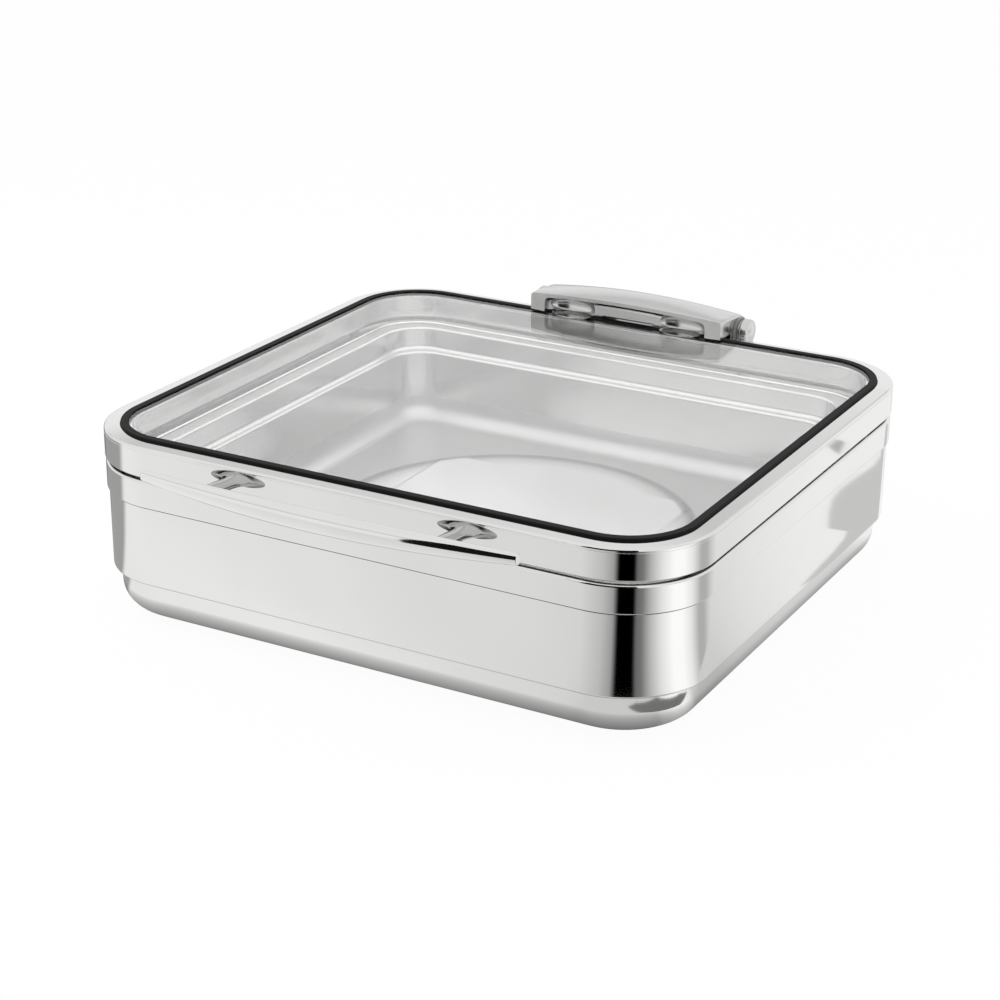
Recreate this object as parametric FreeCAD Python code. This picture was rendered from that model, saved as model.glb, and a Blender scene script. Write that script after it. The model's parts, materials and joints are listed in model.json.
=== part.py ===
import FreeCAD, Part
import os
from math import cos, sin, pi, radians
from FreeCAD import Vector

# Induction chafing dish with a hinged glass lid, for one two-thirds gastronorm food pan.
# Lengths are in mm. The origin is the centre of the face that it rests on, +Z is up,
# the handle is at the front (-Y) and the hinge runs along X at the back (+Y).

# Food pan: a two-thirds gastronorm pan
pan_flange_x = 354.0
pan_flange_y = 325.0
pan_depth = 65.0
pan_sheet = 0.9
pan_flange_width = 10.5
pan_flange_lip = 3.0
pan_wall_draft = 3.0
pan_shoulder_drop = 16.0
pan_shoulder_step = 5.0
pan_shoulder_radius = 3.0
pan_lip_radius = 1.2
pan_floor_radius = 12.0
pan_floor_boss_radius = 118.0
pan_floor_boss_height = 1.6

# Body: outer water pan, rim and induction base
rim_width = 22.0
rim_corner = 53.0
body_sheet = 1.0
water_floor_z = 4.0
base_step_z = 31.5
base_step_width = 5.0
base_floor_radius = 17.0
step_edge_radius = 1.5
rim_sheet = 1.2
rim_top_z = 100.0
rim_band_height = 17.4
rim_edge_radius = 1.8
rim_shelf_drop = 3.1
pan_hole_clearance = 1.2
rim_lip_height = 6.0
pan_side_clearance = 1.2
sheet_fit = 0.1
base_plate_inset = 30.0
base_cap_sheet = 1.0
base_cap_wall = 3.0
base_cap_radius = 0.9

# Lid: frame, inner ring, glass and gasket
lid_gap = 2.0
lid_overhang = 1.6
lid_sheet = 1.2
lid_top_z = 121.5
lid_shoulder_radius = 1.8
lid_land_slope = 0.5
lid_hem_height = 3.0
lid_ledge_width = 7.0
lid_fold_radius = 1.3
lid_shoulder_turn = 87.0
glass_sheet = 4.0
gasket_inset = 11.0
gasket_width = 5.0
gasket_lip = 0.8
gasket_rise = 1.6
gasket_fit = 0.1
gasket_wall = 2.0
gasket_edge_radius = 0.6
ring_sheet = 1.0
ring_wall_inset = 4.0
ring_foot_width = 8.0
ring_foot_gap = 2.8
bumper_radius = 3.5
bumper_corner_inset = 70.0
bumper_crush_gap = 0.1
bumper_edge_radius = 0.8

# Front handle
handle_length = 246.0
handle_z = 117.5
handle_reach = 27.7
handle_bow = 9.6
handle_end_height = 6.8
handle_mid_height = 13.6
handle_flatness = 0.78
post_spacing = 152.0
post_foot_z = 115.0
post_foot_width = 38.0
post_foot_height = 8.4
post_neck_width = 11.0
post_neck_height = 6.5
post_flare_share = 0.5
handle_screw_radius = 2.5
handle_screw_z = 114.8
handle_screw_length = 5.5
screw_fit = 0.15
screw_head_radius = 4.2
screw_head_height = 2.8
screw_head_edge = 1.2
screw_tip_gap = 0.5
washer_sheet = 1.0
washer_radius = 4.4

# Hinge, built about the middle plane and then moved to its place along X
hinge_x = -4.0
pivot_behind_body = 16.0
pivot_z = 121.5
pin_radius = 4.0
pin_chamfer = 0.5
running_fit = 0.05
ear_radius = 9.0
ear_thickness = 6.0
ear_edge_radius = 1.5
bracket_top_z = 97.0
bracket_bottom_z = 83.0
bracket_plate = 6.0
bracket_corner = 3.0
ear_web_share = 0.97
ear_web_drop = 2.5
ear_foot_run = 5.0
stud_radius = 2.5
stud_spacings = (-56.0, -20.0, 20.0, 56.0)
stud_length = 11.0
stud_washer_sheet = 0.8
nut_flats = 8.0
nut_height = 4.0
cap_radius = 6.0
cap_dome = 1.4
cap_spigot_length = 2.0
cover_half_length = 72.0
cover_height = 16.7
cover_lip_drop = 1.2
cover_lip_fall = 3.4
cover_end_share = 0.7
cover_overlap_glass = 5.0
cover_plan_sweep = 3.0
cover_rest_gap = 0.3
cover_wall_radius = 15.0
cover_brow_run = 22.5
cover_brow_bulge = 0.5
cover_crown_run = 13.0
cover_end_radius = 2.5
barrel_bore_radius = 8.5
recess_leg = 11.0
recess_depth = 9.0
recess_lip = 2.3
recess_corner = 4.0
recess_roof_drop = 6.0
recess_end_inset = 8.0
foot_spacing = 82.0
foot_half_length = 17.5
foot_radius = 8.6
foot_reach = 3.0
foot_rise = 4.8
slot_half_length = 19.0
slot_height = 1.6
slot_depth = 12.0
bushing_length = 16.0
bushing_flange_radius = 9.8
bushing_flange = 1.4
spring_washer_sheet = 1.0
spring_washer_radius = 8.0
axial_gap = 0.2
damper_gap = 6.0
damper_wall = 2.4
damper_film = 0.3
damper_end_wall = 2.0
cover_screw_spacings = (-48.0, -16.0, 16.0, 48.0)
cover_screw_z = 113.5
cover_screw_length = 9.0
backing_plate_sheet = 2.0
backing_plate_height = 9.0
backing_plate_overhang = 8.0
backing_plate_corner = 2.0

# How far a cutting shape runs past what it cuts
past = 1.0

# Sizes and places that follow from the ones above
body_x = pan_flange_x / 2 + rim_width
body_y = pan_flange_y / 2 + rim_width
lid_hem_z = rim_top_z + lid_gap
ledge_z = lid_top_z + gasket_rise - 2 * gasket_lip - glass_sheet
gasket_y = body_y - gasket_inset
gasket_top_z = ledge_z + 2 * gasket_lip + glass_sheet
shelf_z = rim_top_z - rim_shelf_drop
pan_top_z = shelf_z + pan_flange_lip
pan_corner = rim_corner - rim_width
skirt_y = body_y + lid_overhang
skirt_inner_y = skirt_y - lid_sheet
pivot_y = body_y + pivot_behind_body
handle_y = -(skirt_y + handle_reach)
stud_z = (bracket_top_z + bracket_bottom_z) / 2
cover_top_z = gasket_top_z + cover_height
cover_lip_z = cover_top_z - cover_lip_drop
cover_front_y = gasket_y - gasket_width / 2 - cover_overlap_glass
recess_half_length = cover_half_length - recess_leg
damper_half_length = cover_half_length - bushing_length - damper_gap
ear_inner_x = cover_half_length + bushing_flange + spring_washer_sheet + 3 * axial_gap
screw_hole_radius = handle_screw_radius + screw_fit


def arc(p, q, r):
    """Arc through three points."""
    return Part.Arc(Vector(*p), Vector(*q), Vector(*r)).toShape()


def outline(half_x, half_y, corner, z):
    """Rounded rectangle about the origin at height z, as one wire of lines and quarter arcs."""
    diagonal = corner * (1 - cos(pi / 4))
    edges = []
    for sx, sy in ((1, -1), (1, 1), (-1, 1), (-1, -1)):
        if sx * sy < 0:
            first = (sx * (half_x - corner), sy * half_y)
            last = (sx * half_x, sy * (half_y - corner))
        else:
            first = (sx * half_x, sy * (half_y - corner))
            last = (sx * (half_x - corner), sy * half_y)
        middle = (sx * (half_x - diagonal), sy * (half_y - diagonal))
        edges.append((first, middle, last))
    shapes = []
    for i, (first, middle, last) in enumerate(edges):
        shapes.append(arc(first + (z,), middle + (z,), last + (z,)))
        following = edges[(i + 1) % 4][0]
        shapes.append(Part.LineSegment(Vector(*last, z), Vector(*following, z)).toShape())
    return Part.Wire(shapes)


def block(half_x, half_y, corner, z_low, z_high):
    """Solid with the rounded rectangle outline between two heights."""
    face = Part.Face(outline(half_x, half_y, corner, z_low))
    return face.extrude(Vector(0, 0, z_high - z_low))


def body_block(offset, z_low, z_high):
    """Block whose sides are parallel to the body's main wall, offset outwards."""
    return block(body_x + offset, body_y + offset, rim_corner + offset, z_low, z_high)


def edges_at(shape, z):
    """Edges that lie in the plane at height z."""
    return [e for e in shape.Edges if abs(e.BoundBox.ZMin - z) < 1e-4 and abs(e.BoundBox.ZMax - z) < 1e-4]


def round_at(shape, z, radius):
    """Rounds the edges that lie at height z."""
    return shape.makeFillet(radius, edges_at(shape, z))


def ring(points):
    """Closed frame that carries one section round the body.

    A point is (outward distance from the body's main wall, z); a third item, an arc's middle
    point, joins it to the point before it."""
    start = Vector(body_x + points[0][0], 0, points[0][1])
    edges = []
    last = start
    for item in points[1:]:
        here = Vector(body_x + item[0], 0, item[1])
        if len(item) == 3:
            mid = Vector(body_x + item[2][0], 0, item[2][1])
            edges.append(Part.Arc(last, mid, here).toShape())
        else:
            edges.append(Part.LineSegment(last, here).toShape())
        last = here
    if last.distanceToPoint(start) > 1e-6:
        edges.append(Part.LineSegment(last, start).toShape())
    section = Part.Wire(edges)
    path = outline(body_x, body_y, rim_corner, points[0][1])
    return path.makePipeShell([section], True, False)


def along_x(radius, x_low, x_high, y, z):
    """Cylinder along X."""
    return Part.makeCylinder(radius, x_high - x_low, Vector(x_low, y, z), Vector(1, 0, 0))


def along_y(radius, y_low, y_high, x, z):
    """Cylinder along Y."""
    return Part.makeCylinder(radius, y_high - y_low, Vector(x, y_low, z), Vector(0, 1, 0))


def mirrored(shape):
    """The same shape on the other side of the middle plane."""
    return shape.mirror(Vector(0, 0, 0), Vector(1, 0, 0))


def corner_arc(centre, radius, angle_low, angle_high):
    """End point of an arc in a section, with the arc's middle point, for ring()."""
    middle = radians((angle_low + angle_high) / 2)
    end = radians(angle_high)
    at_middle = (centre[0] + radius * cos(middle), centre[1] + radius * sin(middle))
    return (centre[0] + radius * cos(end), centre[1] + radius * sin(end), at_middle)


def water_pan():
    """Deep drawn outer pan: upright wall, a step inwards and a bowl-edged flat floor."""
    top = rim_top_z - rim_sheet - sheet_fit
    outer = round_at(body_block(0, base_step_z, top), base_step_z, step_edge_radius)
    bowl = body_block(-base_step_width, water_floor_z, base_step_z + body_sheet)
    outer = outer.fuse(round_at(bowl, water_floor_z, base_floor_radius))
    inner = body_block(-body_sheet, base_step_z + body_sheet, top + past)
    hollow_floor = water_floor_z + body_sheet
    bowl = body_block(-base_step_width - body_sheet, hollow_floor, base_step_z + body_sheet + past)
    inner = inner.fuse(round_at(bowl, hollow_floor, base_floor_radius - body_sheet))
    return outer.cut(inner).removeSplitter()


def rim_frame():
    """Folded rim: band outside the water pan, top land, sunk shelf for the food pan and drip lip."""
    band = sheet_fit + rim_sheet
    seat = pan_side_clearance - rim_width
    shelf_end = pan_sheet + pan_hole_clearance - rim_width - pan_flange_width
    bottom = rim_top_z - rim_band_height
    lip_z = shelf_z - rim_lip_height
    r = rim_edge_radius
    section = [
        (sheet_fit, bottom),
        (band, bottom),
        (band, rim_top_z - r),
        corner_arc((band - r, rim_top_z - r), r, 0, 90),
        (seat, rim_top_z),
        (seat, shelf_z),
        (shelf_end, shelf_z),
        (shelf_end, lip_z),
        (shelf_end + rim_sheet, lip_z),
        (shelf_end + rim_sheet, shelf_z - rim_sheet),
        (seat + rim_sheet, shelf_z - rim_sheet),
        (seat + rim_sheet, rim_top_z - rim_sheet),
        (sheet_fit, rim_top_z - rim_sheet),
    ]
    return ring(section)


def base_core():
    """Aluminium plate that spreads the heat under the floor."""
    edge = base_step_width + base_plate_inset
    return body_block(-edge - base_cap_sheet - sheet_fit, base_cap_sheet, water_floor_z)


def base_cap():
    """Magnetic steel cup that covers the aluminium plate and is the face the dish rests on."""
    edge = base_step_width + base_plate_inset
    cup = round_at(body_block(-edge, 0, base_cap_sheet + base_cap_wall), 0, base_cap_radius)
    return cup.cut(body_block(-edge - base_cap_sheet, base_cap_sheet, water_floor_z + past))


def pan_block(inset, z_low, z_high):
    """Block whose sides are parallel to the food pan's flange, offset inwards."""
    corner = pan_corner - inset / 2
    return block(pan_flange_x / 2 - inset, pan_flange_y / 2 - inset, corner, z_low, z_high)


def pan_hollow(grow):
    """Food pan's hollow, or its outside when grown by the sheet: upper wall, shoulder, drafted wall."""
    mouth = pan_flange_width - grow
    shoulder_z = pan_top_z - pan_shoulder_drop - grow
    floor_z = pan_top_z - pan_depth + pan_sheet - grow
    upper = pan_block(mouth, shoulder_z, pan_top_z + past)
    upper = round_at(upper, shoulder_z, pan_shoulder_radius + grow)
    inset = mouth + pan_shoulder_step
    low = inset + pan_wall_draft
    half_x = pan_flange_x / 2
    half_y = pan_flange_y / 2
    corner = pan_corner - inset / 2
    top_wire = outline(half_x - inset, half_y - inset, corner, shoulder_z + past)
    floor_wire = outline(half_x - low, half_y - low, corner, floor_z)
    lower = Part.makeLoft([floor_wire, top_wire], True, True)
    lower = round_at(lower, floor_z, pan_floor_radius + grow)
    return upper.fuse(lower)


def food_pan():
    """Drawn food pan with a flange and turned-down lip, a stacking shoulder and a raised round floor."""
    flange = pan_block(0, pan_top_z - pan_flange_lip, pan_top_z)
    flange = round_at(flange, pan_top_z, pan_lip_radius)
    under = pan_block(pan_sheet, pan_top_z - pan_flange_lip - past, pan_top_z - pan_sheet)
    shell = flange.cut(under).fuse(pan_hollow(pan_sheet).common(pan_block(pan_sheet, 0, pan_top_z)))
    floor_z = pan_top_z - pan_depth + pan_sheet
    dish = pan_hollow(0)
    top = pan_floor_boss_radius - 2 * pan_floor_boss_height
    up = Vector(0, 0, 1)
    boss = Part.makeCone(pan_floor_boss_radius, top, pan_floor_boss_height, Vector(0, 0, floor_z), up)
    under_boss = boss.copy()
    under_boss.translate(Vector(0, 0, -pan_sheet))
    return shell.cut(dish.cut(boss)).cut(under_boss).removeSplitter()


def rim_bumpers():
    """Four rubber buttons on the rim's land, on which the closed lid's inner ring rests."""
    inset = gasket_inset + ring_wall_inset - ring_foot_width / 2
    reach_x = body_x - inset
    reach_y = body_y - bumper_corner_inset
    height = ring_foot_gap - bumper_crush_gap
    buttons = []
    for sx in (-1, 1):
        for sy in (-1, 1):
            place = Vector(sx * reach_x, sy * reach_y, rim_top_z)
            button = Part.makeCylinder(bumper_radius, height, place)
            buttons.append(round_at(button, rim_top_z + height, bumper_edge_radius))
    return Part.makeCompound(buttons)


def lid_frame():
    """Folded lid frame: hemmed skirt, rounded shoulder, sloping land and the ledge under the glass."""
    out = lid_overhang
    t = lid_sheet
    r = lid_shoulder_radius
    gasket_out = gasket_width / 2 - gasket_inset + gasket_fit
    shoulder_z = lid_top_z - lid_land_slope - r
    ledge_end = gasket_out - lid_ledge_width
    fold = lid_fold_radius
    section = [
        (out, lid_hem_z + fold),
        (out, shoulder_z),
        corner_arc((out - r, shoulder_z), r, 0, lid_shoulder_turn),
        (gasket_out, lid_top_z),
        (gasket_out, ledge_z),
        (ledge_end, ledge_z),
        (ledge_end, ledge_z - t),
        (gasket_out + t, ledge_z - t),
        (gasket_out + t, lid_top_z - t),
        (out - r, shoulder_z + r - t),
        corner_arc((out - r, shoulder_z), r - t, lid_shoulder_turn, 0),
        (out - t, lid_hem_z + lid_hem_height),
        (out - 2 * fold, lid_hem_z + lid_hem_height),
        (out - 2 * fold, lid_hem_z + fold),
    ]
    section.append(corner_arc((out - fold, lid_hem_z + fold), fold, 180, 360))
    return ring(section)


def lid_inner_ring():
    """Inner ring welded under the ledge: it hides the frame's folds and lands on the bumpers."""
    top = ledge_z - lid_sheet
    wall = -gasket_inset - ring_wall_inset
    foot_z = rim_top_z + ring_foot_gap
    s = ring_sheet
    section = [
        (wall, foot_z),
        (wall + ring_foot_width, foot_z),
        (wall + ring_foot_width, foot_z + s),
        (wall + s, foot_z + s),
        (wall + s, top - s),
        (wall + ring_foot_width - s, top - s),
        (wall + ring_foot_width - s, top),
        (wall, top),
    ]
    return ring(section)


def glass_gasket():
    """Silicone channel round the glass edge."""
    outer = gasket_width / 2 - gasket_inset
    inner = outer - gasket_width
    edge = outer - gasket_wall
    r = gasket_edge_radius
    section = [
        (outer, ledge_z),
        (outer, gasket_top_z - r),
        corner_arc((outer - r, gasket_top_z - r), r, 0, 90),
        (inner, gasket_top_z),
        (inner, gasket_top_z - gasket_lip),
        (edge, gasket_top_z - gasket_lip),
        (edge, ledge_z + gasket_lip),
        (inner, ledge_z + gasket_lip),
        (inner, ledge_z),
    ]
    return ring(section)


def glass_pane():
    """Toughened glass held in the gasket's channel."""
    edge = gasket_width / 2 - gasket_inset - gasket_wall - gasket_fit
    z = ledge_z + gasket_lip
    return body_block(edge, z + gasket_fit / 2, z + glass_sheet - gasket_fit / 2)


def handle_shape(grow):
    """Boat-shaped bar: oval sections that swell and bow forwards towards the middle."""
    half = handle_length / 2
    wires = []
    for share in (-1.0, -0.75, -0.4, 0.0, 0.4, 0.75, 1.0):
        swell = 1 - share * share
        height = (handle_end_height + (handle_mid_height - handle_end_height) * swell) / 2 + grow
        centre = Vector(share * (half + grow), handle_y - handle_bow * swell, handle_z)
        oval = Part.Ellipse(centre, height, height * handle_flatness).toShape()
        oval.rotate(centre, Vector(0, 1, 0), 90)
        wires.append(Part.Wire(oval))
    return Part.makeLoft(wires, True, False)


def post_section(along):
    """Half width, half height and height of the middle of a post's section, by its share of the way
    from the foot to the bar. The flare is a quarter ellipse in plan."""
    left = max(0.0, 1 - along / post_flare_share)
    flare = 1 - (1 - left * left) ** 0.5
    half_x = (post_neck_width + (post_foot_width - post_neck_width) * flare) / 2
    half_z = (post_neck_height + (post_foot_height - post_neck_height) * flare) / 2
    lift = along * along * (3 - 2 * along)
    return half_x, half_z, post_foot_z + (handle_z - post_foot_z) * lift


def handle_post(side):
    """Cast post that flares from the bar to a wide foot on the lid's skirt, drilled for its screw."""
    x = side * post_spacing / 2
    swell = 1 - (post_spacing / handle_length) ** 2
    far_y = handle_y - handle_bow * swell
    foot_y = -(skirt_y + sheet_fit)
    wires = []
    for along in (0.0, 0.015, 0.05, 0.11, 0.2, 0.32, 0.5, 0.75, 1.0):
        half_x, half_z, z = post_section(along)
        centre = Vector(x, foot_y + (far_y - foot_y) * along, z)
        oval = Part.Ellipse(centre, half_x, half_z).toShape()
        oval.rotate(centre, Vector(1, 0, 0), 90)
        wires.append(Part.Wire(oval))
    post = Part.makeLoft(wires, True, False)
    hole_end = foot_y - handle_screw_length
    hole = along_y(screw_hole_radius, hole_end, foot_y + past, x, handle_screw_z)
    return post.cut(handle_shape(sheet_fit)).cut(hole)


def drilled_lid_frame():
    """Lid frame with the screw holes for the handle and the hinge cover."""
    frame = lid_frame()
    low = skirt_inner_y - past
    high = skirt_y + past
    for side in (-1, 1):
        x = side * post_spacing / 2
        frame = frame.cut(along_y(screw_hole_radius, -high, -low, x, handle_screw_z))
    for x in cover_screw_spacings:
        frame = frame.cut(along_y(screw_hole_radius, low, high, x + hinge_x, cover_screw_z))
    return frame


def pan_head_screw(x, head_y, direction, reach, z):
    """Screw along Y: its head's seat is at head_y and it points in the given direction."""
    shank = along_y(handle_screw_radius, 0, reach, 0, 0)
    head = along_y(screw_head_radius, -screw_head_height, 0, 0, 0)
    rim = [e for e in head.Edges if abs(e.BoundBox.YMax + screw_head_height) < 1e-4]
    head = head.makeFillet(screw_head_edge, rim)
    screw = shank.fuse(head).removeSplitter()
    if direction < 0:
        screw.rotate(Vector(0, 0, 0), Vector(0, 0, 1), 180)
    screw.translate(Vector(x, head_y, z))
    return screw


def handle_washers():
    """Washers between the handle screws' heads and the skirt."""
    washers = []
    for side in (-1, 1):
        x = side * post_spacing / 2
        seat = -skirt_inner_y
        disc = along_y(washer_radius, seat, seat + washer_sheet, x, handle_screw_z)
        hole_end = seat + washer_sheet + past
        hole = along_y(screw_hole_radius, seat - past, hole_end, x, handle_screw_z)
        washers.append(disc.cut(hole))
    return Part.makeCompound(washers)


def handle_screws():
    """Screws from inside the skirt into the posts."""
    seat = -skirt_inner_y + washer_sheet
    reach = washer_sheet + lid_sheet + handle_screw_length - screw_tip_gap
    half = post_spacing / 2
    screws = [pan_head_screw(x, seat, -1, reach, handle_screw_z) for x in (-half, half)]
    return Part.makeCompound(screws)


def cover_share(x):
    """How high the cover stands at x, as a share of its middle height over the pivot."""
    return 1 - (1 - cover_end_share) * (x / cover_half_length) ** 2


def cover_lip(x):
    """Height of the brow's front edge at x."""
    return cover_lip_z - cover_lip_fall * (x / cover_half_length) ** 2


def cover_section(x):
    """Closed section of the solid cover at x: front face, domed top and rounded back."""
    share = cover_share(x)
    front_y = cover_front_y + cover_plan_sweep * (x / cover_half_length) ** 2
    rise = (cover_top_z - pivot_z) * share
    front_z = cover_lip(x)
    r = cover_wall_radius
    low_z = pivot_z - r
    crown_y = pivot_y - cover_crown_run
    points = [
        (front_y, front_z),
        (pivot_y - cover_brow_run, (front_z + pivot_z + rise) / 2 + cover_brow_bulge),
        (crown_y, pivot_z + rise),
    ]
    for turn in (radians(60), radians(35), radians(12)):
        points.append((crown_y + (cover_crown_run + r) * cos(turn), pivot_z + rise * sin(turn)))
    for turn in (radians(-12), radians(-50), radians(-90)):
        points.append((pivot_y + r * cos(turn), pivot_z + r * sin(turn)))
    curve = Part.BSplineCurve()
    curve.interpolate([Vector(x, y, z) for y, z in points])
    first = Vector(x, front_y, front_z)
    low_front = Vector(x, front_y, low_z)
    last = Vector(x, pivot_y, low_z)
    lines = [Part.LineSegment(last, low_front).toShape(), Part.LineSegment(low_front, first).toShape()]
    return Part.Wire([curve.toShape()] + lines)


def recess_wire(depth):
    """Outline of the cover's recess at a depth behind the brow: an arched roof, which falls like a
    quarter ellipse, between round corners."""
    share = depth / recess_depth
    fall = 1 - (1 - share * share) ** 0.5
    half = recess_half_length - recess_end_inset * fall
    drop = recess_lip + recess_roof_drop * fall
    c = recess_corner
    near = c * (1 - cos(pi / 4))
    low = gasket_top_z - past
    side_z = cover_lip(recess_half_length) - drop
    y = cover_front_y + depth
    left = [(-half, low), (-half, side_z - c), (-half + near, side_z - near), (-half + c, side_z)]
    at = [Vector(px, y, pz) for px, pz in left]
    to = [Vector(-px, y, pz) for px, pz in reversed(left)]
    edges = [
        Part.LineSegment(at[0], at[1]).toShape(),
        Part.Arc(at[1], at[2], at[3]).toShape(),
        Part.Arc(at[3], Vector(0, y, cover_lip(0) - drop), to[0]).toShape(),
        Part.Arc(to[0], to[1], to[2]).toShape(),
        Part.LineSegment(to[2], to[3]).toShape(),
        Part.LineSegment(to[3], at[0]).toShape(),
    ]
    return Part.Wire(edges)


def cover_recess():
    """Scoop under the cover's brow, open to the front, with a low slot at the foot of its back wall."""
    mouth = cover_plan_sweep + past
    wires = [recess_wire(depth) for depth in (0, 0.5 * recess_depth, 0.85 * recess_depth, recess_depth)]
    scoop = Part.makeLoft(wires, True, False)
    front = Part.Face(recess_wire(0)).extrude(Vector(0, -mouth, 0))
    low = Vector(-slot_half_length, cover_front_y, gasket_top_z)
    slot = Part.makeBox(2 * slot_half_length, recess_depth + slot_depth, slot_height + cover_rest_gap, low)
    return scoop.fuse(front).fuse(slot)


def spindle(x, half_length, radius, y, z):
    """Solid of revolution along X with an oval profile."""
    points = []
    for step in range(9):
        turn = pi * step / 8
        points.append(Vector(x - half_length * cos(turn), y, z + radius * sin(turn)))
    curve = Part.BSplineCurve()
    curve.interpolate(points)
    axis_line = Part.LineSegment(points[-1], points[0]).toShape()
    face = Part.Face(Part.Wire([curve.toShape(), axis_line]))
    return face.revolve(Vector(x, y, z), Vector(1, 0, 0), 360)


def lid_room():
    """Space of the lid under the hinge cover, with the cover's clearances."""
    top = gasket_top_z + cover_rest_gap
    low = pivot_z - cover_wall_radius - past
    half_x = cover_half_length + past
    return Part.makeBox(2 * half_x, skirt_y + sheet_fit, top - low, Vector(-half_x, 0, low))


def hinge_cover():
    """Cast arched cover of the lid: dome, brow over a scooped recess, two round feet and the barrel."""
    stations = (-1.0, -0.66, -0.33, 0.0, 0.33, 0.66, 1.0)
    dome = Part.makeLoft([cover_section(s * cover_half_length) for s in stations], True, False)
    ends = [e for e in dome.Edges if e.BoundBox.XLength < 1e-3 and e.BoundBox.ZMax > gasket_top_z + past]
    ends = [e for e in ends if e.BoundBox.YLength > 10 and e.BoundBox.ZLength > 5]
    dome = dome.makeFillet(cover_end_radius, ends)
    cover = dome.cut(cover_recess())
    foot_y = cover_front_y - foot_reach + foot_radius
    for side in (-1, 1):
        x = side * foot_spacing / 2
        cover = cover.fuse(spindle(x, foot_half_length, foot_radius, foot_y, gasket_top_z + foot_rise))
    tip = cover_half_length + past
    cover = cover.cut(lid_room()).cut(along_x(barrel_bore_radius, -tip, tip, pivot_y, pivot_z))
    for x in cover_screw_spacings:
        hole = along_y(screw_hole_radius, skirt_y - past, skirt_y + cover_hole_depth(), x, cover_screw_z)
        cover = cover.cut(hole)
    return cover.removeSplitter()


def cover_hole_depth():
    """Depth of the cover's screw holes behind the skirt."""
    return cover_screw_length - backing_plate_sheet - lid_sheet


def cover_backing_plate():
    """Steel strip inside the skirt that spreads the hinge cover's screws."""
    half = max(cover_screw_spacings) + backing_plate_overhang
    low = Vector(-half, skirt_inner_y - backing_plate_sheet, cover_screw_z - backing_plate_height / 2)
    strip = Part.makeBox(2 * half, backing_plate_sheet, backing_plate_height, low)
    corners = [e for e in strip.Edges if e.BoundBox.YLength > backing_plate_sheet * 0.9]
    strip = strip.makeFillet(backing_plate_corner, corners)
    for x in cover_screw_spacings:
        hole_end = skirt_inner_y + past
        strip = strip.cut(along_y(screw_hole_radius, low.y - past, hole_end, x, cover_screw_z))
    return strip


def cover_screws():
    """Screws from inside the skirt into the hinge cover."""
    seat = skirt_inner_y - backing_plate_sheet
    reach = cover_screw_length - screw_tip_gap
    screws = [pan_head_screw(x, seat, 1, reach, cover_screw_z) for x in cover_screw_spacings]
    return Part.makeCompound(screws)


def hinge_bushing(side):
    """Flanged bushing pressed into the barrel's end."""
    inner = pin_radius + running_fit
    outer = barrel_bore_radius - running_fit
    mouth = cover_half_length
    sleeve = along_x(outer, mouth - bushing_length, mouth, pivot_y, pivot_z)
    flange_end = mouth + bushing_flange
    flange = along_x(bushing_flange_radius, mouth, flange_end, pivot_y, pivot_z)
    bushing = sleeve.fuse(flange).cut(along_x(inner, 0, flange_end + past, pivot_y, pivot_z))
    return bushing if side > 0 else mirrored(bushing)


def damper_sleeve():
    """Damper's outer sleeve, fixed in the middle of the barrel."""
    radius = barrel_bore_radius - running_fit
    half = damper_half_length
    outer = along_x(radius, -half, half, pivot_y, pivot_z)
    return outer.cut(along_x(radius - damper_wall, -half - past, half + past, pivot_y, pivot_z))


def damper_rotor():
    """Damper's drum, keyed to the hinge pin, in a film of grease inside the sleeve."""
    radius = barrel_bore_radius - running_fit - damper_wall - damper_film
    half = damper_half_length - damper_end_wall
    drum = along_x(radius, -half, half, pivot_y, pivot_z)
    return drum.cut(along_x(pin_radius + running_fit, -half - past, half + past, pivot_y, pivot_z))


def spring_washers():
    """Spring washers on the pin between the bushings and the ears."""
    low = ear_inner_x - axial_gap / 2 - spring_washer_sheet
    disc = along_x(spring_washer_radius, low, low + spring_washer_sheet, pivot_y, pivot_z)
    disc = disc.cut(along_x(pin_radius + running_fit, low - past, ear_inner_x, pivot_y, pivot_z))
    return Part.makeCompound([disc, mirrored(disc)])


def hinge_pin():
    """Steel pin through both ears and the lid's barrel."""
    half = ear_inner_x + ear_thickness - cap_spigot_length - running_fit
    pin = along_x(pin_radius, -half, half, pivot_y, pivot_z)
    return pin.makeChamfer(pin_chamfer, [e for e in pin.Edges if e.BoundBox.XLength < 1e-4])


def pivot_caps():
    """Domed plugs that close the pin's bores on the outside of the ears."""
    face_x = ear_inner_x + ear_thickness
    rise = cap_dome
    sphere_radius = (cap_radius ** 2 + rise ** 2) / (2 * rise)
    ball = Part.makeSphere(sphere_radius, Vector(face_x + rise - sphere_radius, pivot_y, pivot_z))
    dome = ball.common(along_x(cap_radius, face_x, face_x + rise + past, pivot_y, pivot_z))
    low_x = face_x - cap_spigot_length
    spigot = along_x(pin_radius - running_fit, low_x, face_x + rise / 2, pivot_y, pivot_z)
    cap = dome.fuse(spigot).removeSplitter()
    return Part.makeCompound([cap, mirrored(cap)])


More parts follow.
